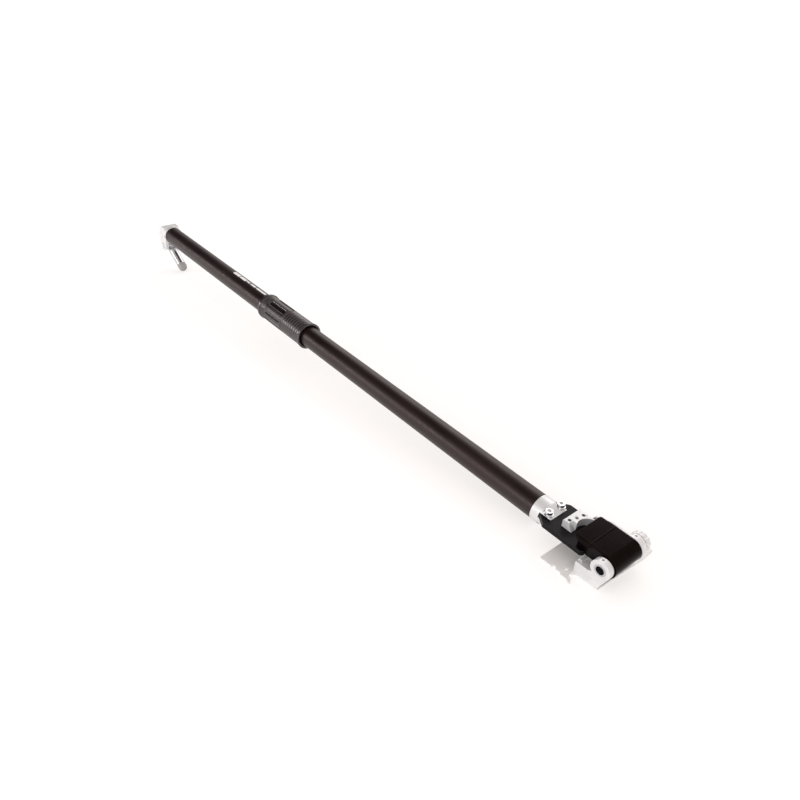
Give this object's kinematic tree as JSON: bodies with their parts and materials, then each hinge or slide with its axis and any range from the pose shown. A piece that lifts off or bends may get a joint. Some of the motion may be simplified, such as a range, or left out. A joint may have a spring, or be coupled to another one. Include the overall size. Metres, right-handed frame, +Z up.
{
  "type": "boom pole",
  "caption": "Telescopic boom pole with a twist-lock grip, hinged on a screw-down foot plate at one end and propped on a short folding leg at the other.",
  "frame": {"origin": "underside of the foot plate, straight below the hinge axle, midway between the head's sides", "axes": "+X from the hinged head towards the pole's far end, +Y towards the side with the open axle, +Z up"},
  "size_m": [1.2388, 0.1255, 0.0925],
  "materials": {
    "plate_steel": "satin zinc-grey sheet, lightly scuffed",
    "bright_aluminium": "bright clear-anodised, machined",
    "plain_aluminium": "plain drawn or turned",
    "axle_steel": "turned, bright",
    "bright_steel": "plated, bright",
    "dark_steel": "black oxide",
    "bronze": "oiled bearing bronze",
    "black_anodised": "black anodised, satin",
    "black_gloss": "black moulding, half gloss",
    "tube_black": "black, satin to half gloss",
    "grip_black": "black moulded grip, fine matt",
    "black_rubber": "matt",
    "grey_rubber": "matt mid grey",
    "white_nylon": "self-lubricating plastic"
  },
  "bodies": {
    "base": {"base_plate": "plate_steel", "near_ear": "bright_aluminium", "far_ear": "bright_aluminium", "ear_screws": "dark_steel", "axle": "axle_steel", "grub_screws": "dark_steel", "rest_pin": "axle_steel"},
    "knob": {"tilt_knob": "bright_aluminium"},
    "head": {"carrier_plate": "black_anodised", "hinge_block": "black_anodised", "front_hood": "black_gloss", "rear_cover": "black_gloss", "far_cheek": "bright_aluminium", "cover_screws": "dark_steel", "hinge_bushes": "bronze", "saddle_block": "bright_aluminium", "saddle_screws": "dark_steel", "ferrule": "bright_aluminium", "ferrule_screws": "bright_steel", "ferrule_washers": "bright_steel", "near_tube": "tube_black", "inner_tube": "plain_aluminium", "joint_sleeves": "plain_aluminium", "guide_ring": "white_nylon", "inner_end_plug": "black_rubber"},
    "far_section": {"far_tube": "tube_black", "threaded_sleeve": "plain_aluminium", "collet": "white_nylon", "guide_bush": "white_nylon", "end_socket": "bright_aluminium", "end_screws": "dark_steel", "leg_fork": "bright_aluminium", "leg_stop": "bright_steel", "leg_pin": "bright_steel"},
    "grip": {"grip_shell": "grip_black", "grip_nut": "plain_aluminium", "wiper_ring": "black_rubber"},
    "leg": {"leg_knuckle": "bright_aluminium", "leg_rod": "plain_aluminium", "leg_foot": "grey_rubber"}
  },
  "joints": [
    {"name": "pole_tilt", "type": "hinge", "parent": "base", "child": "head", "pos_m": [0, 0, 0.0304], "axis": [0, -1, 0], "range_deg": [0, 80]},
    {"name": "knob_turn", "type": "hinge", "parent": "base", "child": "knob", "pos_m": [0, -0.042, 0.0304], "axis": [0, -1, 0], "range_deg": [0, 270]},
    {"name": "pole_slide", "type": "slide", "parent": "head", "child": "far_section", "axis": [0.999, 0, 0.0454], "range_m": [0, 0.335]},
    {"name": "grip_twist", "type": "hinge", "parent": "far_section", "child": "grip", "pos_m": [0.69979, 0, 0.05097], "axis": [0.999, 0, 0.0454], "range_deg": [0, 110]},
    {"name": "leg_fold", "type": "hinge", "parent": "far_section", "child": "leg", "pos_m": [1.21157, 0, 0.04538], "axis": [0, -1, 0], "range_deg": [0, 125]}
  ]
}
